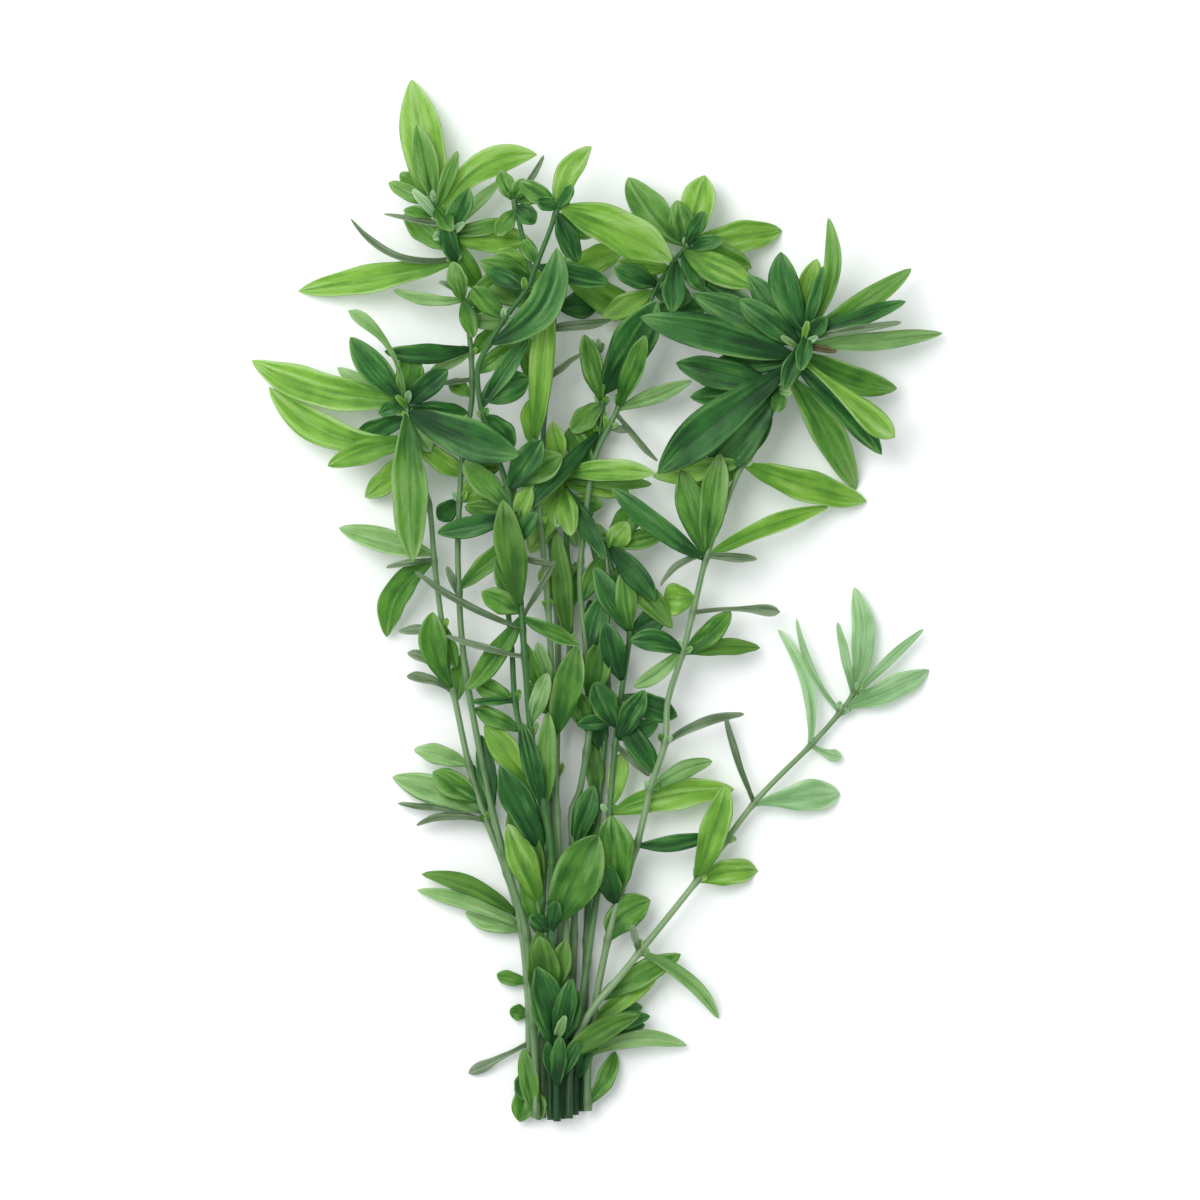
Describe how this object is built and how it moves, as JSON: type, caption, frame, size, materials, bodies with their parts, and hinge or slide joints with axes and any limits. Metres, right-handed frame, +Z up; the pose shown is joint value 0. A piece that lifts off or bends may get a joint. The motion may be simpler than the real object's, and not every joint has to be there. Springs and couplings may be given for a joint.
{
  "type": "hygrophila bunch",
  "caption": "Cut bunch of hygrophila aquarium plant stems with opposite lance-shaped leaves, laid flat.",
  "frame": {"origin": "bottom centre of the whole bunch's box, on the surface that it lies on", "axes": "+Z up from the surface, +Y from the cut ends to the leafy tips, +X to the right seen from above"},
  "size_m": [0.1739, 0.2609, 0.028],
  "materials": {
    "stem": "grey-green fleshy stem, slightly glossy",
    "leaf_dark": "dark bluish green leaf with a faint sheen",
    "leaf_green": "mid green leaf with a faint sheen",
    "leaf_bright": "yellow-green leaf that light comes through",
    "leaf_olive": "olive green leaf",
    "leaf_pale": "pale green translucent leaf",
    "leaf_mint": "pale mint green translucent leaf"
  },
  "bodies": {
    "root": {"stem_tall": "stem", "leaf_tall_1": "leaf_bright", "leaf_tall_2": "leaf_bright", "leaf_tall_3": "leaf_bright", "leaf_tall_4": "leaf_green", "leaf_tall_5": "leaf_dark", "stem_left": "stem", "leaf_left_1": "leaf_bright", "leaf_left_2": "leaf_bright", "leaf_left_3": "leaf_green", "leaf_left_4": "leaf_green", "leaf_left_5": "leaf_dark", "leaf_left_6": "leaf_dark", "leaf_left_7": "leaf_pale", "stem_dark": "stem", "leaf_dark_1": "leaf_dark", "leaf_dark_2": "leaf_bright", "leaf_dark_3": "leaf_green", "leaf_dark_4": "leaf_olive", "leaf_dark_5": "leaf_green", "stem_bright": "stem", "leaf_bright_1": "leaf_green", "stem_upper_right": "stem", "leaf_upper_right_1": "leaf_green", "leaf_upper_right_2": "leaf_bright", "leaf_upper_right_3": "leaf_bright", "leaf_upper_right_4": "leaf_green", "stem_inner": "stem", "leaf_inner_1": "leaf_dark", "leaf_inner_2": "leaf_dark", "stem_right": "stem", "leaf_right_1": "leaf_dark", "leaf_right_2": "leaf_dark", "leaf_right_3": "leaf_dark", "leaf_right_4": "leaf_bright", "leaf_right_5": "leaf_green", "leaf_right_6": "leaf_green", "leaf_right_7": "leaf_pale", "leaf_right_8": "leaf_green", "leaf_right_9": "leaf_dark", "leaf_right_10": "leaf_green", "leaf_right_11": "leaf_bright", "leaf_right_12": "leaf_bright", "stem_hub": "stem", "leaf_hub_1": "leaf_olive", "leaf_hub_2": "leaf_bright", "leaf_hub_3": "leaf_dark", "stem_star": "stem", "leaf_star_1": "leaf_bright", "leaf_star_2": "leaf_bright", "stem_low": "stem", "leaf_low_1": "leaf_bright", "stem_back": "stem", "leaf_back_1": "leaf_bright", "stem_side": "stem", "leaf_side_1": "leaf_mint", "leaf_side_2": "leaf_mint", "leaf_side_3": "leaf_mint", "leaf_side_4": "leaf_mint", "leaf_side_5": "leaf_bright"}
  },
  "joints": []
}
